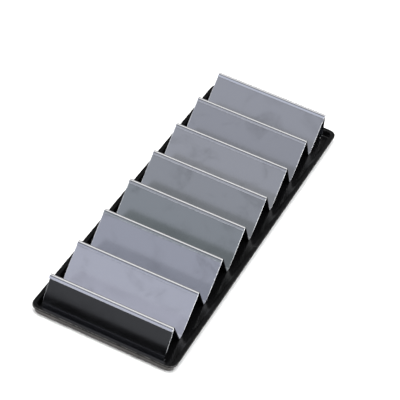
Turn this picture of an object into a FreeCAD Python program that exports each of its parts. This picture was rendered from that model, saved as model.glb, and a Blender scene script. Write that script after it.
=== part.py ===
"""Baguette tray: a shallow moulded tray that holds a loose rack of folded sheet-metal troughs.

Millimetres, +Z up, +Y along the tray, +X across it. The origin is the middle of the tray's underside.
Each trough is a V of folded sheet with a narrow flat floor. Its front flank ends in a hook that hangs
over the plain top edge of the piece in front. A front panel carries the first trough, and a rear panel
hooks over the last one.
"""
import FreeCAD, Part
import math
import os
import Sketcher

V = FreeCAD.Vector

SIZES = {
    # tray
    "tray_length": 580,
    "tray_width": 200,
    "tray_height": 12,
    "tray_floor": 3,
    "tray_corner": 12,       # plan radius of the rim's outer corner
    "rim_width": 6,          # rim's outer edge to its inner edge
    "lip_drop": 2.5,         # height of the rim's outer face
    "lip_overhang": 2,       # how far the rim stands out past the wall
    "wall_draft": 2,         # how far the wall leans in over its height
    "cavity_draft": 1.5,     # the same on the inside
    "rim_round": 0.8,
    "cavity_round": 2,
    "base_round": 1.5,
    "rib_spacing": 100,      # middle to middle of the two stacking ribs on each end wall
    "rib_width": 4,
    "rib_proud": 1,          # how far a rib stands out from the top of the wall
    "rib_foot": 2,           # a rib's lower end above the tray's underside
    # rack
    "trough_count": 7,
    "end_clearance": 2.25,   # tray's floor corner to an end panel's foot, at each end
    "fold_height": 48,       # where the undersides of two neighbouring flanks would meet
    "valley_floor": 7.5,     # flat floor of a trough, on its underside
    "sheet": 1,
    "side_clearance": 7.5,   # tray's floor corner to a sheet's side edge, with the rack in the middle
    "floor_bend": 1,         # inner radius of the folds at the floor
    "hook_bend": 1.5,        # inner radius of the hook
    "hook_depth": 4,         # straight part of the hook's lip
    "edge_play": 0.3,        # a plain top edge's play under the bend of the hook above it
    "panel_run": 16,         # an end panel's foot, outside its ridge
    "panel_flange": 8,       # foot flange turned in under an end panel
    "fit_gap": 0.3,          # between pieces that hang on or stand on each other
    "rack_offset": -3.2,     # the loose rack stands a little left of the tray's middle
}

doc = FreeCAD.newDocument("baguette_tray")
sheet = doc.addObject("Spreadsheet::Sheet", "sizes")
for row, (alias, number) in enumerate(SIZES.items(), start=1):
    sheet.set(f"A{row}", alias)
    sheet.set(f"B{row}", str(number))
    sheet.setAlias(f"B{row}", alias)
doc.recompute()
size = {alias: float(sheet.get(alias)) for alias in SIZES}


def cell(alias):
    """Expression text for one driving dimension."""
    return f"<<sizes>>.{alias}"


# The rack fills the tray's floor but for the clearances, so the ridges share out what is left of its length.
inset = size["rim_width"] + size["cavity_draft"]
inset_text = f"({cell('rim_width')} + {cell('cavity_draft')})"
sheet_width_text = f"({cell('tray_width')} - 2 * ({inset_text} + {cell('side_clearance')}))"
end_text = f"({inset_text} + {cell('end_clearance')} + {cell('panel_run')})"
pitch = (size["tray_length"] - 2 * (inset + size["end_clearance"] + size["panel_run"])) / size["trough_count"]
pitch_text = f"(({cell('tray_length')} - 2 * {end_text}) / {cell('trough_count')})"


def new_body(label):
    body = doc.addObject("PartDesign::Body", label)
    body.Label = label
    return body


def plane_sketch(body, name, role, lift=None):
    """Sketch on one of the body's own origin planes, lifted off it by an expression."""
    sketch = body.newObject("Sketcher::SketchObject", name)
    plane = next(item for item in body.Origin.OriginFeatures if item.Role == role)
    sketch.AttachmentSupport = [(plane, "")]
    sketch.MapMode = "FlatFace"
    if lift:
        sketch.setExpression("AttachmentOffset.Base.z", lift)
    return sketch


def dimension(sketch, kind, refs, value, expression):
    """Add one driving constraint and bind it to the sheet."""
    index = sketch.addConstraint(Sketcher.Constraint(kind, *refs, value))
    sketch.setExpression(f"Constraints[{index}]", expression)


# ---------------------------------------------------------------- tray


def rounded_outline(body, name, step_in, step_text, lift_text):
    """Rounded rectangle, centred, standing in from the rim's outer edge by a step."""
    sketch = plane_sketch(body, name, "XY_Plane", lift_text)
    half_x = size["tray_width"] / 2 - step_in
    half_y = size["tray_length"] / 2 - step_in
    radius = size["tray_corner"] - step_in
    sides = [
        (V(half_x - radius, -half_y, 0), V(-half_x + radius, -half_y, 0)),
        (V(-half_x, -half_y + radius, 0), V(-half_x, half_y - radius, 0)),
        (V(-half_x + radius, half_y, 0), V(half_x - radius, half_y, 0)),
        (V(half_x, half_y - radius, 0), V(half_x, -half_y + radius, 0)),
    ]
    centres = [(-1, -1, 180), (-1, 1, 90), (1, 1, 0), (1, -1, 270)]
    lines = [sketch.addGeometry(Part.LineSegment(start, end)) for start, end in sides]
    arcs = []
    for sign_x, sign_y, first_angle in centres:
        centre = V(sign_x * (half_x - radius), sign_y * (half_y - radius), 0)
        circle = Part.Circle(centre, V(0, 0, 1), radius)
        first = math.radians(first_angle)
        arcs.append(sketch.addGeometry(Part.ArcOfCircle(circle, first, first + math.pi / 2)))
    for corner in range(4):
        sketch.addConstraint(Sketcher.Constraint("Tangent", lines[corner], 2, arcs[corner], 2))
        following = lines[(corner + 1) % 4]
        sketch.addConstraint(Sketcher.Constraint("Tangent", arcs[corner], 1, following, 1))
    for across, along in ((0, 1), (2, 3)):
        sketch.addConstraint(Sketcher.Constraint("Horizontal", lines[across]))
        sketch.addConstraint(Sketcher.Constraint("Vertical", lines[along]))
    for arc in arcs[1:]:
        sketch.addConstraint(Sketcher.Constraint("Equal", arcs[0], arc))
    half_width_text = f"{cell('tray_width')} / 2 - ({step_text})"
    half_length_text = f"{cell('tray_length')} / 2 - ({step_text})"
    radius_text = f"{cell('tray_corner')} - ({step_text})"
    dimension(sketch, "Radius", (arcs[0],), radius, radius_text)
    dimension(sketch, "DistanceX", (-1, 1, lines[3], 1), half_x, half_width_text)
    dimension(sketch, "DistanceX", (lines[1], 1, -1, 1), half_x, half_width_text)
    dimension(sketch, "DistanceY", (-1, 1, lines[2], 1), half_y, half_length_text)
    dimension(sketch, "DistanceY", (lines[0], 1, -1, 1), half_y, half_length_text)
    return sketch


def round_edges(body, name, radius_alias, chosen):
    """Fillet those edges of the body's present solid that the test picks out."""
    base = body.Tip
    names = [f"Edge{i}" for i, edge in enumerate(base.Shape.Edges, start=1) if chosen(edge)]
    fillet = body.newObject("PartDesign::Fillet", name)
    fillet.Base = (base, names)
    fillet.setExpression("Radius", cell(radius_alias))
    doc.recompute()
    return fillet


def on_level(edge, level):
    return all(abs(vertex.Point.z - level) < 1e-4 for vertex in edge.Vertexes)


def build_tray():
    """Thin moulded tray: drafted wall, overhanging rim, flat floor and two ribs on each end wall."""
    body = new_body("tray")
    lip_level = size["tray_height"] - size["lip_drop"]
    wall_top = size["lip_overhang"]
    wall_foot = wall_top + size["wall_draft"]
    lip_text = f"{cell('tray_height')} - {cell('lip_drop')}"
    foot_text = f"{cell('lip_overhang')} + {cell('wall_draft')}"

    wall = body.newObject("PartDesign::AdditiveLoft", "tray_wall")
    wall.Profile = rounded_outline(body, "wall_foot_outline", wall_foot, foot_text, None)
    wall.Sections = [rounded_outline(body, "wall_top_outline", wall_top, cell("lip_overhang"), lip_text)]
    wall.Ruled = True
    doc.recompute()

    rim = body.newObject("PartDesign::Pad", "tray_rim")
    rim.Profile = rounded_outline(body, "rim_outline", 0, "0", lip_text)
    rim.setExpression("Length", cell("lip_drop"))
    doc.recompute()

    for name, side in (("left_ribs", -1), ("right_ribs", 1)):
        ribs = body.newObject("PartDesign::Pad", name)
        ribs.Profile = rib_sections(body, f"{name}_section", side)
        ribs.SideType = "Symmetric"
        ribs.setExpression("Length", cell("rib_width"))
        doc.recompute()

    solid_volume = ribs.Shape.Volume
    cavity = body.newObject("PartDesign::SubtractiveLoft", "tray_cavity")
    cavity.Profile = rounded_outline(body, "cavity_foot_outline", inset, inset_text, cell("tray_floor"))
    cavity.Sections = [
        rounded_outline(body, "cavity_top_outline", size["rim_width"], cell("rim_width"), cell("tray_height"))
    ]
    cavity.Ruled = True
    doc.recompute()
    assert cavity.Shape.Volume < solid_volume / 2, "the cavity cut nothing"

    round_edges(body, "rim_round", "rim_round", lambda edge: on_level(edge, size["tray_height"]))
    round_edges(body, "cavity_round", "cavity_round", lambda edge: on_level(edge, size["tray_floor"]))
    round_edges(body, "base_round", "base_round", lambda edge: on_level(edge, 0))
    return body


def rib_sections(body, name, side):
    """Side view of two ribs, one on each end wall, that follow the wall's draft up to the lip."""
    sketch = plane_sketch(body, name, "YZ_Plane", f"{side} * {cell('rib_spacing')} / 2")
    lip_level = size["tray_height"] - size["lip_drop"]
    foot_level = size["rib_foot"]
    inner = size["tray_length"] / 2 - size["rim_width"]
    top = size["tray_length"] / 2 - size["lip_overhang"] + size["rib_proud"]
    foot = top - size["wall_draft"] * (1 - foot_level / lip_level)
    lip_text = f"({cell('tray_height')} - {cell('lip_drop')})"
    inner_text = f"{cell('tray_length')} / 2 - {cell('rim_width')}"
    top_text = f"{cell('tray_length')} / 2 - {cell('lip_overhang')} + {cell('rib_proud')}"
    foot_text = f"{top_text} - {cell('wall_draft')} * (1 - {cell('rib_foot')} / {lip_text})"
    corners = [
        (inner, foot_level, inner_text, cell("rib_foot")),
        (foot, foot_level, foot_text, cell("rib_foot")),
        (top, lip_level, top_text, lip_text),
        (inner, lip_level, inner_text, lip_text),
    ]
    for end in (-1, 1):
        points = [V(end * corner[0], corner[1], 0) for corner in corners]
        lines = [sketch.addGeometry(Part.LineSegment(points[i], points[(i + 1) % 4])) for i in range(4)]
        for i, (along, level, along_text, level_text) in enumerate(corners):
            sketch.addConstraint(Sketcher.Constraint("Coincident", lines[i - 1], 2, lines[i], 1))
            dimension(sketch, "DistanceX", (-1, 1, lines[i], 1), end * along, f"{end} * ({along_text})")
            dimension(sketch, "DistanceY", (-1, 1, lines[i], 1), level, level_text)
    return sketch


# ---------------------------------------------------------------- folded sheet


def unit(start, end):
    return (end - start).normalize()


def left_of(direction):
    return V(-direction.y, direction.x, 0)


def crossing(point_a, along_a, point_b, along_b):
    """Where two lines of a plane cross."""
    gap = point_b - point_a
    reach = (gap.x * along_b.y - gap.y * along_b.x) / (along_a.x * along_b.y - along_a.y * along_b.x)
    return point_a + along_a * reach


class FoldedProfile:
    """Closed section of a folded sheet, drawn from the corners of its underside.

    The underside runs from corner to corner with an arc at each fold, and the top side follows it on
    the left at the thickness of the sheet. under and top hold the straight lines of the two sides.
    """

    def __init__(self, sketch, corners, bend_aliases):
        self.sketch = sketch
        thickness = size["sheet"]
        ways = [unit(corners[i], corners[i + 1]) for i in range(len(corners) - 1)]
        starts = [corners[0]]
        ends = []
        folds = []
        for i, alias in enumerate(bend_aliases):
            before, after = ways[i], ways[i + 1]
            turn = math.atan2(before.x * after.y - before.y * after.x, before.dot(after))
            inner = size[alias]
            radius = inner + thickness if turn > 0 else inner
            reach = radius * math.tan(abs(turn) / 2)
            tangent = corners[i + 1] - before * reach
            side = 1 if turn > 0 else -1
            folds.append((tangent + left_of(before) * radius * side, side, alias))
            ends.append(tangent)
            starts.append(corners[i + 1] + after * reach)
        ends.append(corners[-1])
        rise = [left_of(way) * thickness for way in ways]
        self.under = [self.line(starts[i], ends[i]) for i in range(len(ways))]
        self.top = [self.line(starts[i] + rise[i], ends[i] + rise[i]) for i in range(len(ways))]
        for i, (centre, side, alias) in enumerate(folds):
            under_text = f"{cell(alias)} + {cell('sheet')}" if side > 0 else cell(alias)
            top_text = cell(alias) if side > 0 else f"{cell(alias)} + {cell('sheet')}"
            under_arc = self.fold(centre, side, ends[i], starts[i + 1], self.under, i, under_text)
            top_arc = self.fold(
                centre, side, ends[i] + rise[i], starts[i + 1] + rise[i + 1], self.top, i, top_text
            )
            self.rule("Coincident", under_arc, 3, top_arc, 3)
        self.cap(0, 1, starts[0], rise[0])
        self.cap(-1, 2, ends[-1], rise[-1])

    def line(self, start, end, construction=False):
        return self.sketch.addGeometry(Part.LineSegment(start, end), construction)

    def rule(self, kind, *refs):
        self.sketch.addConstraint(Sketcher.Constraint(kind, *refs))

    def fold(self, centre, side, start, end, lines, i, radius_text):
        """Arc of one fold on one side of the sheet, tangent to the lines before and after it."""
        radius = (start - centre).Length
        first, last = (start, end) if side > 0 else (end, start)
        angles = [math.atan2(point.y - centre.y, point.x - centre.x) for point in (first, last)]
        if angles[1] < angles[0]:
            angles[1] += 2 * math.pi
        circle = Part.Circle(centre, V(0, 0, 1), radius)
        arc = self.sketch.addGeometry(Part.ArcOfCircle(circle, *angles))
        near, far = (1, 2) if side > 0 else (2, 1)
        self.rule("Tangent", lines[i], 2, arc, near)
        self.rule("Tangent", arc, far, lines[i + 1], 1)
        dimension(self.sketch, "Radius", (arc,), radius, radius_text)
        return arc

    def cap(self, i, end, point, rise):
        """Square cut edge at one end of the sheet."""
        edge = self.line(point, point + rise)
        self.rule("Coincident", edge, 1, self.under[i], end)
        self.rule("Coincident", edge, 2, self.top[i], end)
        self.rule("Perpendicular", edge, self.under[i])
        self.rule("Parallel", self.under[i], self.top[i])

    def fixed_point(self, x, y, x_text, y_text):
        """Construction point placed by two driving dimensions."""
        point = self.sketch.addGeometry(Part.Point(V(x, y, 0)), True)
        dimension(self.sketch, "DistanceX", (-1, 1, point, 1), x, x_text)
        dimension(self.sketch, "DistanceY", (-1, 1, point, 1), y, y_text)
        return point

    def runs_through(self, i, *points):
        """Keep the underside of straight piece i on these construction points."""
        for point in points:
            self.rule("PointOnObject", point, 1, self.under[i])


def fold_points():
    """Corners of a trough's underside, ridge points first to last, with their expressions."""
    half_pitch, half_floor = pitch / 2, size["valley_floor"] / 2
    half_text, floor_text = f"{pitch_text} / 2", f"{cell('valley_floor')} / 2"
    height_text = cell("fold_height")
    return {
        "front_ridge": (-half_pitch, size["fold_height"], f"-{half_text}", height_text),
        "front_corner": (-half_floor, 0, f"-{floor_text}", "0"),
        "rear_corner": (half_floor, 0, floor_text, "0"),
        "rear_ridge": (half_pitch, size["fold_height"], half_text, height_text),
    }


def edge_setback():
    """How far a plain top edge ends short of the fold point, so that only the straight lip covers it."""
    value = 2 * size["hook_bend"] - size["sheet"] + size["edge_play"]
    return value, f"2 * {cell('hook_bend')} - {cell('sheet')} + {cell('edge_play')}"


def hook_corners(ridge, flank_way, hung_way):
    """Lip end and fold corner of a hook that hangs over a sheet rising along hung_way."""
    hook_line = ridge + left_of(hung_way) * (size["sheet"] + size["fit_gap"])
    corner = crossing(ridge, flank_way, hook_line, hung_way)
    ridge_angle = math.acos(flank_way.dot(hung_way))
    reach = size["hook_bend"] / math.tan(ridge_angle / 2)
    return corner - hung_way * (reach + size["hook_depth"]), corner


def pad_across(body, sketch, name):
    """Give a section its width, half to each side of the body's middle."""
    pad = body.newObject("PartDesign::Pad", name)
    pad.Profile = sketch
    pad.SideType = "Symmetric"
    pad.setExpression("Length", sheet_width_text)
    return pad


def stand_in_rack(body, middle_text):
    """Stand a piece on the tray's floor, its own middle at a place along the tray."""
    body.setExpression("Placement.Base.x", cell("rack_offset"))
    body.setExpression("Placement.Base.y", middle_text)
    body.setExpression("Placement.Base.z", f"{cell('tray_floor')} + {cell('fit_gap')}")


def build_trough(number):
    """V-shaped trough: hook, front flank, narrow floor, rear flank with a plain top edge."""
    body = new_body(f"trough_{number}")
    sketch = plane_sketch(body, f"trough_{number}_section", "YZ_Plane")
    points = {name: V(item[0], item[1], 0) for name, item in fold_points().items()}
    rear_way = unit(points["rear_corner"], points["rear_ridge"])
    front_way = unit(points["front_corner"], points["front_ridge"])
    lip_end, hook_corner = hook_corners(points["front_ridge"], front_way, rear_way)
    setback, setback_text = edge_setback()
    top_edge = points["rear_ridge"] - rear_way * setback
    corners = [lip_end, hook_corner, points["front_corner"], points["rear_corner"], top_edge]
    profile = FoldedProfile(sketch, corners, ["hook_bend", "floor_bend", "floor_bend"])
    lip, front_flank, floor, rear_flank = range(4)
    marks = {name: profile.fixed_point(*item) for name, item in fold_points().items()}
    profile.runs_through(front_flank, marks["front_ridge"], marks["front_corner"])
    profile.runs_through(floor, marks["front_corner"], marks["rear_corner"])
    profile.runs_through(rear_flank, marks["rear_corner"], marks["rear_ridge"])
    hook_to_top(profile, lip, marks["front_ridge"], profile.under[rear_flank])
    setback_refs = (marks["rear_ridge"], 1, profile.under[rear_flank], 2)
    dimension(sketch, "Distance", setback_refs, setback, setback_text)
    pad_across(body, sketch, f"trough_{number}_sheet")
    middle = f"({number} - ({cell('trough_count')} + 1) / 2) * {pitch_text}"
    stand_in_rack(body, middle)
    return body


def hook_to_top(profile, lip, ridge_mark, hung_line):
    """Size the lip of a hook, parallel to the sheet that it hangs over and one gap away from it."""
    gap = size["sheet"] + size["fit_gap"]
    gap_text = f"{cell('sheet')} + {cell('fit_gap')}"
    profile.rule("Parallel", profile.under[lip], hung_line)
    dimension(profile.sketch, "Distance", (ridge_mark, 1, profile.under[lip]), gap, gap_text)
    dimension(profile.sketch, "Distance", (profile.under[lip],), size["hook_depth"], cell("hook_depth"))


def build_front_panel():
    """Steep end panel: plain top edge under the first hook, foot flange turned in under the rack."""
    body = new_body("front_panel")
    sketch = plane_sketch(body, "front_panel_section", "YZ_Plane")
    setback, setback_text = edge_setback()
    run, height = size["panel_run"], size["fold_height"] - setback
    foot, top = V(-run, 0, 0), V(0, height, 0)
    flange_end = V(size["panel_flange"] - run, 0, 0)
    profile = FoldedProfile(sketch, [top, foot, flange_end], ["floor_bend"])
    top_mark = profile.fixed_point(0, height, "0", f"{cell('fold_height')} - ({setback_text})")
    foot_mark = profile.fixed_point(-run, 0, f"-{cell('panel_run')}", "0")
    profile.runs_through(0, foot_mark)
    profile.rule("Coincident", profile.under[0], 1, top_mark, 1)
    profile.rule("Horizontal", profile.under[1])
    profile.runs_through(1, foot_mark)
    flange_refs = (foot_mark, 1, profile.under[1], 2)
    dimension(sketch, "DistanceX", flange_refs, size["panel_flange"], cell("panel_flange"))
    pad_across(body, sketch, "front_panel_sheet")
    stand_in_rack(body, f"-{cell('trough_count')} / 2 * {pitch_text}")
    return body


def build_rear_panel():
    """Steep end panel whose hook hangs over the last trough, with a foot flange turned in."""
    body = new_body("rear_panel")
    sketch = plane_sketch(body, "rear_panel_section", "YZ_Plane")
    run, height = size["panel_run"], size["fold_height"]
    ridge, foot = V(0, height, 0), V(run, size["sheet"], 0)
    flange_end = V(run - size["panel_flange"], size["sheet"], 0)
    flank_run = (pitch - size["valley_floor"]) / 2
    flank_foot = V(-flank_run, 0, 0)
    hung_way = unit(flank_foot, ridge)
    lip_end, hook_corner = hook_corners(ridge, unit(foot, ridge), hung_way)
    corners = [lip_end, hook_corner, foot, flange_end]
    profile = FoldedProfile(sketch, corners, ["hook_bend", "floor_bend"])
    ridge_mark = profile.fixed_point(0, height, "0", cell("fold_height"))
    foot_mark = profile.fixed_point(run, size["sheet"], cell("panel_run"), cell("sheet"))
    flank_text = f"-({pitch_text} - {cell('valley_floor')}) / 2"
    flank_mark = profile.fixed_point(-flank_run, 0, flank_text, "0")
    hung_line = profile.line(flank_foot, ridge, construction=True)
    profile.rule("Coincident", hung_line, 1, flank_mark, 1)
    profile.rule("Coincident", hung_line, 2, ridge_mark, 1)
    profile.runs_through(1, ridge_mark, foot_mark)
    profile.rule("Horizontal", profile.under[2])
    profile.runs_through(2, foot_mark)
    hook_to_top(profile, 0, ridge_mark, hung_line)
    flange_refs = (profile.under[2], 2, foot_mark, 1)
    dimension(sketch, "DistanceX", flange_refs, size["panel_flange"], cell("panel_flange"))
    pad_across(body, sketch, "rear_panel_sheet")
    stand_in_rack(body, f"{cell('trough_count')} / 2 * {pitch_text}")
    return body


nodes = [build_tray(), build_front_panel()]
nodes += [build_trough(number) for number in range(1, int(size["trough_count"]) + 1)]
nodes.append(build_rear_panel())
doc.recompute()

for item in doc.Objects:
    faults = {"Invalid", "Error"} & set(item.State)
    assert not faults, f"{item.Label} is {faults}"
for body in nodes:
    assert not body.Shape.isNull() and body.Shape.isValid(), f"{body.Label} has no valid shape"
    assert len(body.Shape.Solids) == 1, f"{body.Label} is not one solid"

os.makedirs("parts", exist_ok=True)
for body in nodes:
    body.Shape.exportStep(f"parts/{body.Label}.step")
    box = body.Shape.BoundBox
    print(f"{body.Label}: x {box.XMin:.2f}..{box.XMax:.2f} y {box.YMin:.2f}..{box.YMax:.2f}"
          f" z {box.ZMin:.2f}..{box.ZMax:.2f} volume {body.Shape.Volume:.0f}")
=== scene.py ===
import math

import bmesh
import bpy
from mathutils import Matrix, Vector


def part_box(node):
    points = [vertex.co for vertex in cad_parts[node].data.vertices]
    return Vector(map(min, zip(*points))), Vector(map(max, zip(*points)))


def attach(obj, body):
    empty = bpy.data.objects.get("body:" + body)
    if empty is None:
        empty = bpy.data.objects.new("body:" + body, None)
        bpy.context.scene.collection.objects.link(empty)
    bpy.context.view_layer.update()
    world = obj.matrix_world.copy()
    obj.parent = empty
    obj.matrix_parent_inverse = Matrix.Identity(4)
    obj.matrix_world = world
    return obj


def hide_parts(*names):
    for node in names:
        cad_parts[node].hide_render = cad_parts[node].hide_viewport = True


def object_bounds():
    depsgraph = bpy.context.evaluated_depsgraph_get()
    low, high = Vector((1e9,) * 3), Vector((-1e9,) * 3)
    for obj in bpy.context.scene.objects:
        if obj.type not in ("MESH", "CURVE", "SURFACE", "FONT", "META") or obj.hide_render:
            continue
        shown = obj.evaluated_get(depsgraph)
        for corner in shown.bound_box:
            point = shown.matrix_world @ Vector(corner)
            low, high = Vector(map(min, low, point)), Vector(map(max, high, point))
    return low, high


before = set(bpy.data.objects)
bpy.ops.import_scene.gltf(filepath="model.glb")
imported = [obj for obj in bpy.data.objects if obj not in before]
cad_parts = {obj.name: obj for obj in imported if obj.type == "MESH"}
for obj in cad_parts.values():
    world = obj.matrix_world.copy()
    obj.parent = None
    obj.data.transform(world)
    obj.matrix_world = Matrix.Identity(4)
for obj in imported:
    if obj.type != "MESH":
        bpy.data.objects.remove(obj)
cad_low, cad_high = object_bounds()

# ------------------------------------------------------------------ studio
# A pale table in a dim room, with a soft box overhead, a weaker patch of light behind the camera and
# three low ones behind the object. The steel mirrors the patches, and the black moulding the dim room.

MM = 0.001

camera_azimuth = math.radians(15.95)
camera_elevation = math.radians(38.68)
camera_roll = math.radians(12.7)
camera_distance = 2.3375
camera_aim = Vector((-0.0032, 0.0366, 0.0033))
camera_back = Vector((
    math.sin(camera_azimuth) * math.cos(camera_elevation),
    -math.cos(camera_azimuth) * math.cos(camera_elevation),
    math.sin(camera_elevation),
))
camera_data = bpy.data.cameras.new("camera")
camera_data.sensor_width = 36
camera_data.lens = 153.3
camera_data.shift_x = -0.0094
camera_data.shift_y = 0.0030
camera_data.clip_start = 0.05
camera = bpy.data.objects.new("camera", camera_data)
bpy.context.scene.collection.objects.link(camera)
looking = camera_back.to_track_quat("Z", "Y").to_matrix().to_4x4()
place = Matrix.Translation(camera_aim + camera_back * camera_distance)
camera.matrix_world = place @ looking @ Matrix.Rotation(camera_roll, 4, "Z")
bpy.context.scene.camera = camera
bpy.context.scene.view_settings.view_transform = "Standard"

table_half = 4.0
table_mesh = bpy.data.meshes.new("table_top")
table_mesh.from_pydata(
    [(-table_half, -table_half, 0), (table_half, -table_half, 0),
     (table_half, table_half, 0), (-table_half, table_half, 0)],
    [], [(0, 1, 2, 3)],
)
table = bpy.data.objects.new("table_top", table_mesh)
bpy.context.scene.collection.objects.link(table)
table_paint = bpy.data.materials.new("table_paint")
table_paint.use_nodes = True
table_shader = table_paint.node_tree.nodes["Principled BSDF"]
table_shader.inputs["Base Color"].default_value = (0.9, 0.9, 0.9, 1)
table_shader.inputs["Roughness"].default_value = 0.9
table_shader.inputs["Specular IOR Level"].default_value = 0.1
table_mesh.materials.append(table_paint)
table.visible_glossy = False

world = bpy.data.worlds.new("studio")
bpy.context.scene.world = world
world.use_nodes = True
world_nodes = world.node_tree.nodes
world_links = world.node_tree.links
background = world_nodes["Background"]
direction = world_nodes.new("ShaderNodeTexCoord").outputs["Generated"]


def light_patch(toward, dark_at, full_at, colour):
    """Soft patch of light round a direction: dark at one angle off it and full at another, in degrees."""
    toward = Vector(toward).normalized()
    spread = world_nodes.new("ShaderNodeVectorMath")
    spread.operation = "DOT_PRODUCT"
    spread.inputs[1].default_value = toward
    world_links.new(direction, spread.inputs[0])
    fade = world_nodes.new("ShaderNodeMapRange")
    fade.interpolation_type = "SMOOTHSTEP"
    fade.inputs["From Min"].default_value = math.cos(math.radians(dark_at))
    fade.inputs["From Max"].default_value = math.cos(math.radians(full_at))
    world_links.new(spread.outputs["Value"], fade.inputs["Value"])
    tint = world_nodes.new("ShaderNodeVectorMath")
    tint.operation = "SCALE"
    tint.inputs[0].default_value = colour
    world_links.new(fade.outputs["Result"], tint.inputs["Scale"])
    return tint.outputs["Vector"]


room_light = (0.07, 0.07, 0.07)
rear_light = (0.30, 0.30, 0.31)
overhead = light_patch((-0.2, 0.08, 1), dark_at=37, full_at=30, colour=(0.9, 0.9, 0.9))
behind_camera = light_patch((-0.29, -0.81, 0.50), dark_at=22, full_at=8, colour=(0.575, 0.59, 0.65))
from_below = light_patch((0, 0, -1), dark_at=52, full_at=38, colour=(1.2, 1.18, 1.15))
behind = light_patch((0, 1, 0.22), dark_at=27, full_at=12, colour=rear_light)
behind_left = light_patch((-0.75, 0.65, 0.25), dark_at=30, full_at=12, colour=rear_light)
behind_right = light_patch((0.75, 0.65, 0.25), dark_at=30, full_at=12, colour=rear_light)
total = world_nodes.new("ShaderNodeVectorMath")
total.inputs[0].default_value = room_light
world_links.new(overhead, total.inputs[1])
for patch in (behind_camera, from_below, behind, behind_left, behind_right):
    adder = world_nodes.new("ShaderNodeVectorMath")
    world_links.new(total.outputs["Vector"], adder.inputs[0])
    world_links.new(patch, adder.inputs[1])
    total = adder
world_links.new(total.outputs["Vector"], background.inputs["Color"])

# Soft panels light the table and the tray, and don't show in anything polished. The two side strips do
# the opposite: they only show in what is polished, and draw the bright lines along the cut edges.
for name, spot, side, power, in_steel in (
        ("key_panel", (-1.1, -1.2, 2.4), 2.4, 60, False),
        ("right_panel", (1.4, -0.6, 2.2), 2.4, 45, False),
        ("top_panel", (0.0, 0.3, 2.4), 3.0, 60, False),
        ("right_strip", (1.3, -0.33, 0.12), 2.2, 42, True),
        ("left_strip", (-1.3, 0.15, 0.05), 2.2, 24, True)):
    panel_data = bpy.data.lights.new(name, "AREA")
    panel_data.shape = "SQUARE"
    panel_data.size = side
    panel_data.energy = power
    panel = bpy.data.objects.new(name, panel_data)
    bpy.context.scene.collection.objects.link(panel)
    facing = Vector(spot).to_track_quat("Z", "Y").to_matrix().to_4x4()
    panel.matrix_world = Matrix.Translation(Vector(spot)) @ facing
    panel.visible_camera = False
    panel.visible_glossy = in_steel
    panel.visible_diffuse = not in_steel

# A low black card stands before the tray. It only shows in what is polished, as the dark foot of the
# front panel.
card_gap = 0.03
card_height = 0.020
card_half = 0.3
card_y = cad_low.y - card_gap
card_mesh = bpy.data.meshes.new("black_card")
card_mesh.from_pydata(
    [(-card_half, card_y, 0), (card_half, card_y, 0),
     (card_half, card_y, card_height), (-card_half, card_y, card_height)],
    [], [(3, 2, 1, 0)],
)
card = bpy.data.objects.new("black_card", card_mesh)
bpy.context.scene.collection.objects.link(card)
card_paint = bpy.data.materials.new("black_card_paint")
card_paint.use_nodes = True
card_shader = card_paint.node_tree.nodes["Principled BSDF"]
card_shader.inputs["Base Color"].default_value = (0.004, 0.004, 0.004, 1)
card_shader.inputs["Roughness"].default_value = 1.0
card_shader.inputs["Specular IOR Level"].default_value = 0.0
card_mesh.materials.append(card_paint)
card.visible_camera = False
card.visible_diffuse = False
card.visible_shadow = False

# ------------------------------------------------------------------ tray
# One injection-moulded tray in glossy black plastic: a flat floor, a drafted wall with a coarser
# outside, and a rim whose lip overhangs the wall. Two stacking ribs stand on each end wall.

tray_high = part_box("tray")[1]
half_x = tray_high.x
half_y = tray_high.y
tray_top = tray_high.z
tray_floor = 3 * MM
tray_corner = 12 * MM
rim_width = 6 * MM
lip_drop = 2.5 * MM
lip_overhang = 2 * MM
wall_draft = 2 * MM
cavity_draft = 1.5 * MM
rim_round = 0.8 * MM
cavity_round = 2 * MM
base_round = 1.5 * MM
lip_edge_round = 0.35 * MM
rib_offset = 50 * MM
rib_width = 4 * MM
rib_proud = 1 * MM
rib_foot = 2 * MM
rib_edge = 0.3 * MM
rib_steps = (-rib_width / 2, -rib_width / 2 + rib_edge, rib_width / 2 - rib_edge, rib_width / 2)
least_corner = 0.5 * MM
corner_steps = 14
cavity_lean = 8
sharp_above = math.radians(28)


def arc(centre, radius, first, last, steps):
    """Points (inset, height) on an arc, its angles in degrees from the inward direction."""
    found = []
    for i in range(steps + 1):
        angle = math.radians(first + (last - first) * i / steps)
        found.append((centre[0] + radius * math.cos(angle), centre[1] + radius * math.sin(angle)))
    return found


# The profile goes from the underside up the outer wall, over the rim and down to the floor, as points
# (inset from the rim's outer edge, height).
lip_level = tray_top - lip_drop
wall_foot_inset = lip_overhang + wall_draft
cavity_foot_inset = rim_width + cavity_draft
rim_flat_from = rim_round * 1.6
cavity_centre = (cavity_foot_inset + cavity_round * 0.9, tray_floor + cavity_round)
profile = [(wall_foot_inset + base_round * 3, 0.0)]
profile += arc((wall_foot_inset + base_round, base_round), base_round, first=270, last=180, steps=6)
for level in (rib_foot, rib_foot + rib_edge, lip_level - rib_edge, lip_level):
    profile.append((lip_overhang + wall_draft * (1 - level / lip_level), level))
profile.append((lip_edge_round * 2, lip_level))
lip_centre = (lip_edge_round, lip_level + lip_edge_round)
profile += arc(lip_centre, lip_edge_round, first=270, last=180, steps=4)
outer_round_from = len(profile)
profile += arc((rim_round, tray_top - rim_round), rim_round, first=180, last=90, steps=6)
outer_round_to = len(profile)
profile += [(rim_flat_from, tray_top), (rim_width - rim_flat_from, tray_top)]
inner_centre = (rim_width - rim_round, tray_top - rim_round)
profile += arc(inner_centre, rim_round, first=90, last=cavity_lean, steps=6)
profile += arc(cavity_centre, cavity_round, first=180 - cavity_lean, last=270, steps=7)
profile.append((cavity_foot_inset + cavity_round * 2, tray_floor))


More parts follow.
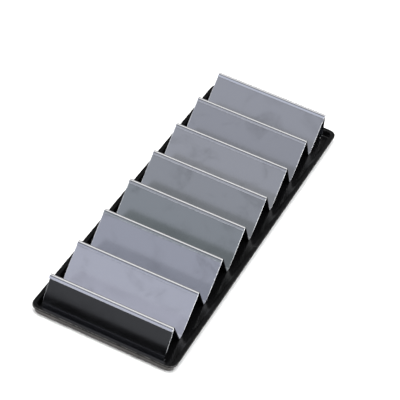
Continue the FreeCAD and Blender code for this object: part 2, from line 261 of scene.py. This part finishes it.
def rib_share(x):
    """How far a point of an end wall stands out on a stacking rib, from 0 to 1."""
    beside = abs(abs(x) - rib_offset) - rib_width / 2
    return min(1.0, max(0.0, -beside / rib_edge))


def ring(inset, level):
    """Points round a rounded rectangle that stands in from the rim's outer edge by an inset."""
    radius = max(tray_corner - inset, least_corner)
    beside_ribs = rib_foot + rib_edge / 2 < level < lip_level - rib_edge / 2
    on_wall = beside_ribs and inset < rim_width
    points = []
    for sign_x, sign_y, first in ((1, -1, -90), (1, 1, 0), (-1, 1, 90), (-1, -1, 180)):
        centre_x = sign_x * (half_x - inset - radius)
        centre_y = sign_y * (half_y - inset - radius)
        for i in range(corner_steps + 1):
            angle = math.radians(first + 90 * i / corner_steps)
            x = centre_x + radius * math.cos(angle)
            y = centre_y + radius * math.sin(angle)
            points.append((x, y, level))
        if sign_x == sign_y:
            stations = [middle + step for middle in (rib_offset, -rib_offset) for step in rib_steps]
            stations.sort(reverse=sign_y > 0)
            for x in stations:
                push = rib_proud * rib_share(x) if on_wall else 0.0
                points.append((x, sign_y * (half_y - inset + push), level))
    return points


def on_outer_wall(spot):
    """Whether a point of the tray lies on its outer wall, under the lip."""
    beyond_edge = max(abs(spot.x) - half_x, abs(spot.y) - half_y)
    return spot.z < lip_level - 0.1 * MM and beyond_edge > -wall_foot_inset - base_round / 2


tray_mesh = bpy.data.meshes.new("tray_moulding")
shape = bmesh.new()
rings = [[shape.verts.new(point) for point in ring(inset, level)] for inset, level in profile]
for lower, upper in zip(rings, rings[1:]):
    for i in range(len(lower)):
        following = (i + 1) % len(lower)
        shape.faces.new((lower[i], lower[following], upper[following], upper[i]))
shape.faces.new(list(reversed(rings[0])))
shape.faces.new(rings[-1])
bmesh.ops.recalc_face_normals(shape, faces=shape.faces)
shape.verts.index_update()
shape.to_mesh(tray_mesh)
shape.free()
tray_mesh.polygons.foreach_set("use_smooth", [True] * len(tray_mesh.polygons))
tray_mesh.set_sharp_from_angle(angle=sharp_above)
outer_wall = tray_mesh.attributes.new("outer_wall", "FLOAT", "POINT")
outer_wall.data.foreach_set("value", [float(on_outer_wall(vertex.co)) for vertex in tray_mesh.vertices])
# The band round the rim's outer top edge is rubbed wear, and is also painted lighter so that it draws the
# rim's highlight line, a painted highlight.
rim_wear_and_highlight = tray_mesh.attributes.new("rim_wear_and_highlight", "FLOAT", "POINT")
wear_and_highlight_rings = range(outer_round_from + 2, outer_round_to - 1)
rim_wear_and_highlight.data.foreach_set("value", [
    float(index // len(rings[0]) in wear_and_highlight_rings) for index in range(len(tray_mesh.vertices))])
tray = bpy.data.objects.new("tray_moulding", tray_mesh)
bpy.context.scene.collection.objects.link(tray)


def add_node(tree, kind, **settings):
    """New node in a tree, with its plain properties set by name."""
    node = tree.nodes.new(kind)
    for name, value in settings.items():
        setattr(node, name, value)
    return node


def feed(tree, node, **inputs):
    """Give a node's inputs numbers, colours or links. A name's underscores stand for spaces."""
    for name, value in inputs.items():
        socket = node.inputs[name.replace("_", " ")]
        if isinstance(value, bpy.types.NodeSocket):
            tree.links.new(value, socket)
        else:
            socket.default_value = value
    return node


def new_group(name, inputs, outputs):
    """Shader group with named float and vector inputs and float outputs."""
    group = bpy.data.node_groups.new(name, "ShaderNodeTree")
    for label, kind in inputs:
        group.interface.new_socket(label, in_out="INPUT", socket_type=kind)
    for label in outputs:
        group.interface.new_socket(label, in_out="OUTPUT", socket_type="NodeSocketFloat")
    return group, group.nodes.new("NodeGroupInput").outputs, group.nodes.new("NodeGroupOutput").inputs


def noise(tree, vector, scale, detail, roughness=0.5, distortion=0.0):
    """Noise from 0 to 1 at a place, with its scale in cycles a metre."""
    node = add_node(tree, "ShaderNodeTexNoise")
    feed(tree, node, Vector=vector, Scale=scale, Detail=detail, Roughness=roughness, Distortion=distortion)
    return node.outputs["Fac"]


def ramp(tree, value, low, high, to_low=0.0, to_high=1.0):
    """Smooth step of a value, from to_low at low to to_high at high."""
    node = add_node(tree, "ShaderNodeMapRange", interpolation_type="SMOOTHSTEP")
    feed(tree, node, Value=value, From_Min=low, From_Max=high, To_Min=to_low, To_Max=to_high)
    return node.outputs["Result"]


def calculate(tree, operation, first, second=0.0):
    """Result of a Math node on numbers or links."""
    node = add_node(tree, "ShaderNodeMath", operation=operation)
    for socket, value in zip(node.inputs, (first, second)):
        if isinstance(value, bpy.types.NodeSocket):
            tree.links.new(value, socket)
        else:
            socket.default_value = value
    return node.outputs["Value"]


# Handling marks: soft patches where fingers and cloths have been, with finer streaks inside them.
marks, given, put = new_group(
    "handling_marks",
    [("Vector", "NodeSocketVector"), ("Patch Scale", "NodeSocketFloat"), ("Cover", "NodeSocketFloat")],
    ["Marks"],
)
streaks_per_patch = 7.0
mark_softness = 0.22
touched = noise(marks, given["Vector"], given["Patch Scale"], detail=3.0, roughness=0.55, distortion=0.6)
streak_scale = calculate(marks, "MULTIPLY", given["Patch Scale"], streaks_per_patch)
streaks = noise(marks, given["Vector"], streak_scale, detail=4.0, roughness=0.6, distortion=1.2)
threshold = calculate(marks, "SUBTRACT", 1.0, given["Cover"])
upper_threshold = calculate(marks, "ADD", threshold, mark_softness)
soft = ramp(marks, touched, threshold, upper_threshold)
broken = ramp(marks, streaks, 0.3, 0.7, to_low=0.45)
marks.links.new(calculate(marks, "MULTIPLY", soft, broken), put["Marks"])

# Rubbed edge: strongest at an edge, fading over a reach, and broken up as handling leaves it.
rubbed, given, put = new_group(
    "rubbed_edge",
    [("Vector", "NodeSocketVector"), ("Distance", "NodeSocketFloat"), ("Reach", "NodeSocketFloat")],
    ["Rub"],
)
nearness = ramp(rubbed, given["Distance"], given["Reach"], 0.0)
wear = noise(rubbed, given["Vector"], scale=260.0, detail=4.0, roughness=0.65)
chatter = ramp(rubbed, wear, 0.35, 0.62)
rubbed.links.new(calculate(rubbed, "MULTIPLY", nearness, chatter), put["Rub"])


def use_group(tree, group, **inputs):
    """First output of a group placed in a tree, with its inputs given by name."""
    node = add_node(tree, "ShaderNodeGroup", node_tree=group)
    return feed(tree, node, **inputs).outputs[0]


def mix_colours(tree, share, first, second):
    """First colour where the share is 0 and the second where it is 1, each a link or three numbers."""
    node = add_node(tree, "ShaderNodeMix", data_type="RGBA")
    factor, colour_a, colour_b = node.inputs[0], node.inputs[6], node.inputs[7]
    tree.links.new(share, factor)
    for socket, value in ((colour_a, first), (colour_b, second)):
        if isinstance(value, bpy.types.NodeSocket):
            tree.links.new(value, socket)
        else:
            socket.default_value = (*value, 1)
    return node.outputs[2]


moulding = bpy.data.materials.new("glossy_black_moulding")
moulding.use_nodes = True
tree = moulding.node_tree
shader = tree.nodes["Principled BSDF"]
where = add_node(tree, "ShaderNodeTexCoord").outputs["Object"]
outside = add_node(tree, "ShaderNodeAttribute", attribute_name="outer_wall").outputs["Fac"]
wear_and_highlight_share = add_node(tree, "ShaderNodeAttribute", attribute_name="rim_wear_and_highlight").outputs["Fac"]
from_wear_and_highlight = calculate(tree, "SUBTRACT", 1.0, wear_and_highlight_share)
tray_marks = use_group(tree, marks, Vector=where, Patch_Scale=14.0, Cover=0.46)
wall_blotches = use_group(tree, marks, Vector=where, Patch_Scale=55.0, Cover=0.62)
rim_rub_and_highlight = use_group(tree, rubbed, Vector=where, Distance=from_wear_and_highlight, Reach=0.9)

# The wall is browner and coarser than the rest, and darkens in the lip's shade.
black_plastic = (0.0035, 0.0035, 0.0038)
rubbed_plastic_and_highlight = (0.075, 0.072, 0.068)
wall_plastic = (0.040, 0.037, 0.034)
wall_blotch = (0.068, 0.061, 0.056)
lip_shade = (0.006, 0.006, 0.006)
shade_from = lip_level - 1.8 * MM
shade_full = lip_level - 0.4 * MM
# Plastic on the rim's outer round is painted lighter: partly rubbed wear, partly a painted highlight along
# the edge.
plain = mix_colours(tree, rim_rub_and_highlight, black_plastic, rubbed_plastic_and_highlight)
wall_colour = mix_colours(tree, wall_blotches, wall_plastic, wall_blotch)
axes = add_node(tree, "ShaderNodeSeparateXYZ")
feed(tree, axes, Vector=where)
under_lip = ramp(tree, axes.outputs["Z"], shade_from, shade_full)
wall_colour = mix_colours(tree, under_lip, wall_colour, lip_shade)
colour = mix_colours(tree, outside, plain, wall_colour)

clean_roughness = 0.16
marks_roughness = 0.16
rub_roughness = 0.12
wall_roughness = 0.34
floor_pebble = 0.05
rough = calculate(tree, "ADD", clean_roughness, calculate(tree, "MULTIPLY", tray_marks, marks_roughness))
rough = calculate(tree, "ADD", rough, calculate(tree, "MULTIPLY", rim_rub_and_highlight, rub_roughness))
rough = calculate(tree, "ADD", rough, calculate(tree, "MULTIPLY", outside, wall_roughness))
pebble = noise(tree, where, scale=420.0, detail=3.0)
pebble = calculate(tree, "MULTIPLY", pebble, calculate(tree, "ADD", floor_pebble, outside))
ripple = noise(tree, where, scale=22.0, detail=2.0)
bump = add_node(tree, "ShaderNodeBump")
feed(tree, bump, Height=calculate(tree, "ADD", ripple, pebble), Strength=0.25, Distance=0.1 * MM)
feed(tree, shader, Base_Color=colour, Roughness=rough, Normal=bump.outputs["Normal"])
tray_mesh.materials.append(moulding)

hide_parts("tray")
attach(tray, "tray")

# ------------------------------------------------------------------ troughs
# Seven troughs, each one strip of satin stainless sheet folded on a press: hook, front flank, narrow
# floor, rear flank. Each hangs by its hook over the plain top edge of the sheet in front of it.

sheet = 1 * MM
hook_bend = 1.5 * MM
floor_bend = 1 * MM
hook_depth = 4 * MM
hook_gap = 0.3 * MM
fold_height = 48 * MM
valley_floor = 7.5 * MM
edge_setback = 2.3 * MM
deburr = 0.4 * MM
corner_round = 1.5 * MM
# Size of the dark line painted along each hook's lip, a painted dark reflection: its offset from the lip's
# top and its half width.
dark_line_size = 0.45 * MM
bend_half = 1.65 * MM
trough_names = [f"trough_{number}" for number in range(1, 8)]
first_trough, last_trough = trough_names[0], trough_names[-1]
pitch = (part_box(last_trough)[0].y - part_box(first_trough)[0].y) / (len(trough_names) - 1)
rack_low, rack_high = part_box(first_trough)
sheet_left = rack_low.x
sheet_width = rack_high.x - rack_low.x
sheet_middle = (rack_low.x + rack_high.x) / 2
base = rack_low.z
flank_run = (pitch - valley_floor) / 2
flank_length = math.hypot(flank_run, fold_height)

# The folding tree takes the corners of a strip's underside, rounds each by its own bend, and gives the
# strip its width and thickness. The metal lies to the left of the corners' way, seen from the right side.
folding = bpy.data.node_groups.new("folded_sheet", "GeometryNodeTree")
folding.interface.new_socket("Geometry", in_out="INPUT", socket_type="NodeSocketGeometry")
for label, kind in (
        ("Sheet", "NodeSocketFloat"), ("Width", "NodeSocketFloat"), ("Left Edge", "NodeSocketFloat"),
        ("Bend Steps", "NodeSocketInt"), ("Finish", "NodeSocketMaterial")):
    folding.interface.new_socket(label, in_out="INPUT", socket_type=kind)
folding.interface.new_socket("Geometry", in_out="OUTPUT", socket_type="NodeSocketGeometry")
sizes = add_node(folding, "NodeGroupInput").outputs
strip = add_node(folding, "GeometryNodeMeshToCurve")
feed(folding, strip, Mesh=sizes["Geometry"])
bend = add_node(folding, "GeometryNodeInputNamedAttribute", data_type="FLOAT")
feed(folding, bend, Name="bend")
fillet = add_node(folding, "GeometryNodeFilletCurve", mode="POLY")
feed(folding, fillet, Curve=strip.outputs[0], Count=sizes["Bend Steps"], Radius=bend.outputs[0])
fillet.inputs["Limit Radius"].default_value = True
measure = add_node(folding, "GeometryNodeSplineParameter")
run = add_node(folding, "GeometryNodeStoreNamedAttribute", data_type="FLOAT", domain="POINT")
feed(folding, run, Geometry=fillet.outputs[0], Name="run", Value=measure.outputs["Length"])
line = add_node(folding, "GeometryNodeCurveToMesh")
feed(folding, line, Curve=run.outputs[0])
to_left = add_node(folding, "ShaderNodeCombineXYZ")
feed(folding, to_left, X=sizes["Left Edge"])
start = add_node(folding, "GeometryNodeTransform")
feed(folding, start, Geometry=line.outputs[0], Translation=to_left.outputs[0])
across = add_node(folding, "ShaderNodeCombineXYZ")
feed(folding, across, X=sizes["Width"])
skin = add_node(folding, "GeometryNodeExtrudeMesh", mode="EDGES")
feed(folding, skin, Mesh=start.outputs[0], Offset=across.outputs[0])
thick = add_node(folding, "GeometryNodeExtrudeMesh", mode="FACES")
feed(folding, thick, Mesh=skin.outputs[0], Offset_Scale=sizes["Sheet"], Individual=False)
under = add_node(folding, "GeometryNodeFlipFaces")
feed(folding, under, Mesh=skin.outputs[0])
both = add_node(folding, "GeometryNodeJoinGeometry")
folding.links.new(thick.outputs[0], both.inputs[0])
folding.links.new(under.outputs[0], both.inputs[0])
closed = add_node(folding, "GeometryNodeMergeByDistance")
feed(folding, closed, Geometry=both.outputs[0], Distance=0.01 * MM)
smooth = add_node(folding, "GeometryNodeSetShadeSmooth")
feed(folding, smooth, Geometry=closed.outputs[0])
real = add_node(folding, "GeometryNodeRealizeInstances")
feed(folding, real, Geometry=smooth.outputs[0])
finish = add_node(folding, "GeometryNodeSetMaterial")
feed(folding, finish, Geometry=real.outputs[0], Material=sizes["Finish"])
folding.links.new(finish.outputs[0], add_node(folding, "NodeGroupOutput").inputs[0])


def satin_steel(name, tone, dulled, length, hooked=True):
    """Satin stainless sheet: rolled grain across the strip, handling marks, rubbed cut edges.

    Where the strip starts with a hook, its lip is painted a little brighter than the flank, a painted
    highlight; a dark line is painted along the lip beside the bend, a painted dark reflection; and the
    bend is painted bright, a painted highlight.
    """
    metal = bpy.data.materials.new(name)
    metal.use_nodes = True
    tree = metal.node_tree
    shader = tree.nodes["Principled BSDF"]
    where = add_node(tree, "ShaderNodeTexCoord").outputs["Object"]
    run = add_node(tree, "ShaderNodeAttribute", attribute_name="run").outputs["Fac"]
    axes = add_node(tree, "ShaderNodeSeparateXYZ")
    feed(tree, axes, Vector=where)
    off_middle = calculate(tree, "ABSOLUTE", calculate(tree, "SUBTRACT", axes.outputs["X"], sheet_middle))
    to_side = calculate(tree, "SUBTRACT", sheet_width / 2, off_middle)
    to_end = calculate(tree, "MINIMUM", run, calculate(tree, "SUBTRACT", length, run))
    edge = calculate(tree, "MINIMUM", to_side, to_end)
    on_sheet = add_node(tree, "ShaderNodeCombineXYZ")
    pattern_drift = calculate(tree, "MULTIPLY", axes.outputs["Y"], 0.3)
    feed(tree, on_sheet, X=axes.outputs["X"], Y=run, Z=pattern_drift)
    rolled = add_node(tree, "ShaderNodeMapping")
    feed(tree, rolled, Vector=on_sheet.outputs[0], Scale=(30.0, 2600.0, 30.0))
    grain = noise(tree, rolled.outputs[0], scale=1.0, detail=3.0, roughness=0.6)
    handled = use_group(tree, marks, Vector=on_sheet.outputs[0], Patch_Scale=24.0, Cover=0.5)
    rub = use_group(tree, rubbed, Vector=where, Distance=edge, Reach=1.6 * MM)
    waviness = noise(tree, on_sheet.outputs[0], scale=9.0, detail=1.0, roughness=0.4)

    dull = tuple(part * dulled for part in tone)
    colour = mix_colours(tree, handled, tone, dull)
    if hooked:
        # The lip is painted 1.2 times brighter than the rest of its sheet, a painted highlight.
        lip_painted_highlight = tuple(min(part * 1.2, 0.95) for part in tone)
        # The bend is painted near-white, a painted highlight along the ridge.
        bend_painted_highlight = (0.86, 0.86, 0.87)
        # A thin dark line is painted along the lip beside the bend, a painted dark reflection.
        painted_dark_line = (0.10, 0.10, 0.11)
        on_lip = ramp(tree, run, hook_depth * 1.03, hook_depth * 0.97)
        off_bend = calculate(tree, "ABSOLUTE", calculate(tree, "SUBTRACT", run, hook_depth + bend_half))
        on_bend = ramp(tree, off_bend, bend_half, bend_half * 0.85)
        off_dark_line = calculate(tree, "ABSOLUTE", calculate(tree, "SUBTRACT", run, hook_depth - dark_line_size))
        on_dark_line = ramp(tree, off_dark_line, dark_line_size, dark_line_size * 0.4)
        colour = mix_colours(tree, on_lip, colour, lip_painted_highlight)
        colour = mix_colours(tree, on_bend, colour, bend_painted_highlight)
        colour = mix_colours(tree, on_dark_line, colour, painted_dark_line)
    rubbed_bright = (0.9, 0.91, 0.92)
    rub_cover = 0.8
    colour = mix_colours(tree, calculate(tree, "MULTIPLY", rub, rub_cover), colour, rubbed_bright)

    clean_roughness = 0.15
    marks_roughness = 0.06
    grain_roughness = 0.04
    rub_polish = 0.05
    grain_height = 0.02
    rough = calculate(tree, "ADD", clean_roughness, calculate(tree, "MULTIPLY", handled, marks_roughness))
    rough = calculate(tree, "ADD", rough, calculate(tree, "MULTIPLY", grain, grain_roughness))
    rough = calculate(tree, "SUBTRACT", rough, calculate(tree, "MULTIPLY", rub, rub_polish))
    relief = calculate(tree, "ADD", calculate(tree, "MULTIPLY", grain, grain_height), waviness)
    bump = add_node(tree, "ShaderNodeBump")
    feed(tree, bump, Height=relief, Strength=0.6, Distance=0.4 * MM)
    feed(tree, shader, Base_Color=colour, Roughness=rough, Normal=bump.outputs["Normal"])
    shader.inputs["Metallic"].default_value = 1.0
    return metal


def fold_strip(name, corners, metal):
    """Folded strip from its underside corners, each (along the tray, height, bend radius)."""
    outline = bpy.data.meshes.new(f"{name}_strip")
    points = [(0, along, level) for along, level, radius in corners]
    outline.from_pydata(points, [(i, i + 1) for i in range(len(points) - 1)], [])
    radii = outline.attributes.new("bend", "FLOAT", "POINT")
    radii.data.foreach_set("value", [radius for along, level, radius in corners])
    strip = bpy.data.objects.new(name, outline)
    bpy.context.scene.collection.objects.link(strip)
    fold = strip.modifiers.new("fold", "NODES")
    fold.node_group = folding
    given = {item.name: item.identifier for item in folding.interface.items_tree if item.in_out == "INPUT"}
    fold[given["Sheet"]] = sheet
    fold[given["Width"]] = sheet_width
    fold[given["Left Edge"]] = sheet_left
    fold[given["Bend Steps"]] = 12
    fold[given["Finish"]] = metal
    folded = bpy.data.meshes.new_from_object(strip.evaluated_get(bpy.context.evaluated_depsgraph_get()))
    strip.modifiers.clear()

    # The four sheared corners are rounded first, and then every cut edge is deburred.
    bench = bmesh.new()
    bench.from_mesh(folded)
    length_slack = 0.02 * MM
    nearly_square = math.radians(80)
    sheared = [
        edge for edge in bench.edges
        if abs(edge.calc_length() - sheet) < length_slack and edge.calc_face_angle(0.0) > nearly_square]
    bmesh.ops.bevel(bench, geom=sheared, offset=corner_round, segments=4, profile=0.5, affect="EDGES")
    bench.to_mesh(folded)
    bench.free()
    strip.data = folded
    edges = strip.modifiers.new("deburr", "BEVEL")
    edges.width = deburr
    edges.segments = 4
    edges.limit_method = "ANGLE"
    edges.angle_limit = math.radians(60)
    flats = strip.modifiers.new("flats_stay_flat", "WEIGHTED_NORMAL")
    flats.weight = 100
    made = bpy.data.meshes.new_from_object(strip.evaluated_get(bpy.context.evaluated_depsgraph_get()))
    strip.modifiers.clear()
    strip.data = made
    return strip


def strip_length(corners):
    """Developed length of a strip along its underside, near enough for its edge distances."""
    total = 0.0
    for (along_a, level_a, _), (along_b, level_b, _) in zip(corners, corners[1:]):
        total += math.hypot(along_b - along_a, level_b - level_a)
    for before, here, after in zip(corners, corners[1:], corners[2:]):
        way_in = math.atan2(here[1] - before[1], here[0] - before[0])
        way_out = math.atan2(after[1] - here[1], after[0] - here[0])
        turn = abs((way_out - way_in + math.pi) % (2 * math.pi) - math.pi)
        total -= here[2] * (2 * math.tan(turn / 2) - turn)
    return total


def hook_over(ridge_y, base, flank_y, flank_level, hung_run):
    """Lip end and fold corner of a hook over a sheet that rises to the ridge over hung_run."""
    hung_length = math.hypot(hung_run, fold_height)
    rise_y, rise_z = hung_run / hung_length, fold_height / hung_length
    own_y, own_z = ridge_y - flank_y, base + fold_height - flank_level
    own_length = math.hypot(own_y, own_z)
    own_y, own_z = own_y / own_length, own_z / own_length
    off = sheet + hook_gap
    start_y, start_z = ridge_y - rise_z * off, base + fold_height + rise_y * off
    reach = ((start_y - ridge_y) * rise_z - (start_z - base - fold_height) * rise_y) / (
        own_y * rise_z - own_z * rise_y)
    corner_y, corner_z = ridge_y + own_y * reach, base + fold_height + own_z * reach
    ridge_angle = math.acos(own_y * rise_y + own_z * rise_z)
    lip = hook_bend / math.tan(ridge_angle / 2) + hook_depth
    return [(corner_y - rise_y * lip, corner_z - rise_z * lip, 0.0), (corner_y, corner_z, hook_bend)]


def ridge_behind(name):
    """Where the rear flank of a trough would meet the ridge's top, past the flank's plain edge."""
    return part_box(name)[1].y + edge_setback * flank_run / flank_length


trough_dulled = 0.86
# Each trough's tone. The first three step darker toward the rear as painted reflection, standing in for
# the less light each sheet mirrors; the rest vary a little from sheet to sheet.
tones_with_painted_reflection = [
    (0.61, 0.62, 0.685), (0.475, 0.49, 0.545), (0.35, 0.375, 0.39), (0.40, 0.415, 0.435),
    (0.46, 0.47, 0.495), (0.43, 0.44, 0.47), (0.46, 0.47, 0.50),
]
for name, tone in zip(trough_names, tones_with_painted_reflection):
    ridge_rear = ridge_behind(name)
    ridge_front = ridge_rear - pitch
    corners = hook_over(ridge_front, base, ridge_front + flank_run, base, flank_run) + [
        (ridge_front + flank_run, base, floor_bend + sheet),
        (ridge_rear - flank_run, base, floor_bend + sheet),
        (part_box(name)[1].y, base + fold_height * (1 - edge_setback / flank_length), 0.0),
    ]
    metal = satin_steel(f"satin_steel_{name}", tone, trough_dulled, strip_length(corners))
    trough = fold_strip(f"{name}_folded", corners, metal)
    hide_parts(name)
    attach(trough, name)

# ------------------------------------------------------------------ end panels
# Two steep strips of the same sheet close the rack. Each has a foot flange turned in under the rack; the
# front one carries the first trough's hook, and the rear one hooks over the last trough.

panel_run = 16 * MM
panel_flange = 8 * MM
panel_tone = (0.61, 0.63, 0.69)
panel_dulled = 0.88
first_ridge = ridge_behind(first_trough) - pitch
last_ridge = ridge_behind(last_trough)
front_corners = [
    (first_ridge, base + fold_height - edge_setback, 0.0),
    (first_ridge - panel_run, base, floor_bend + sheet),
    (first_ridge - panel_run + panel_flange, base, 0.0),
]
rear_foot = last_ridge + panel_run
rear_corners = hook_over(last_ridge, base, rear_foot, base + sheet, flank_run) + [
    (rear_foot, base + sheet, floor_bend),
    (rear_foot - panel_flange, base + sheet, 0.0),
]
for name, corners, hooked in (("front_panel", front_corners, False), ("rear_panel", rear_corners, True)):
    metal = satin_steel(f"satin_steel_{name}", panel_tone, panel_dulled, strip_length(corners), hooked)
    panel = fold_strip(f"{name}_folded", corners, metal)
    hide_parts(name)
    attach(panel, name)
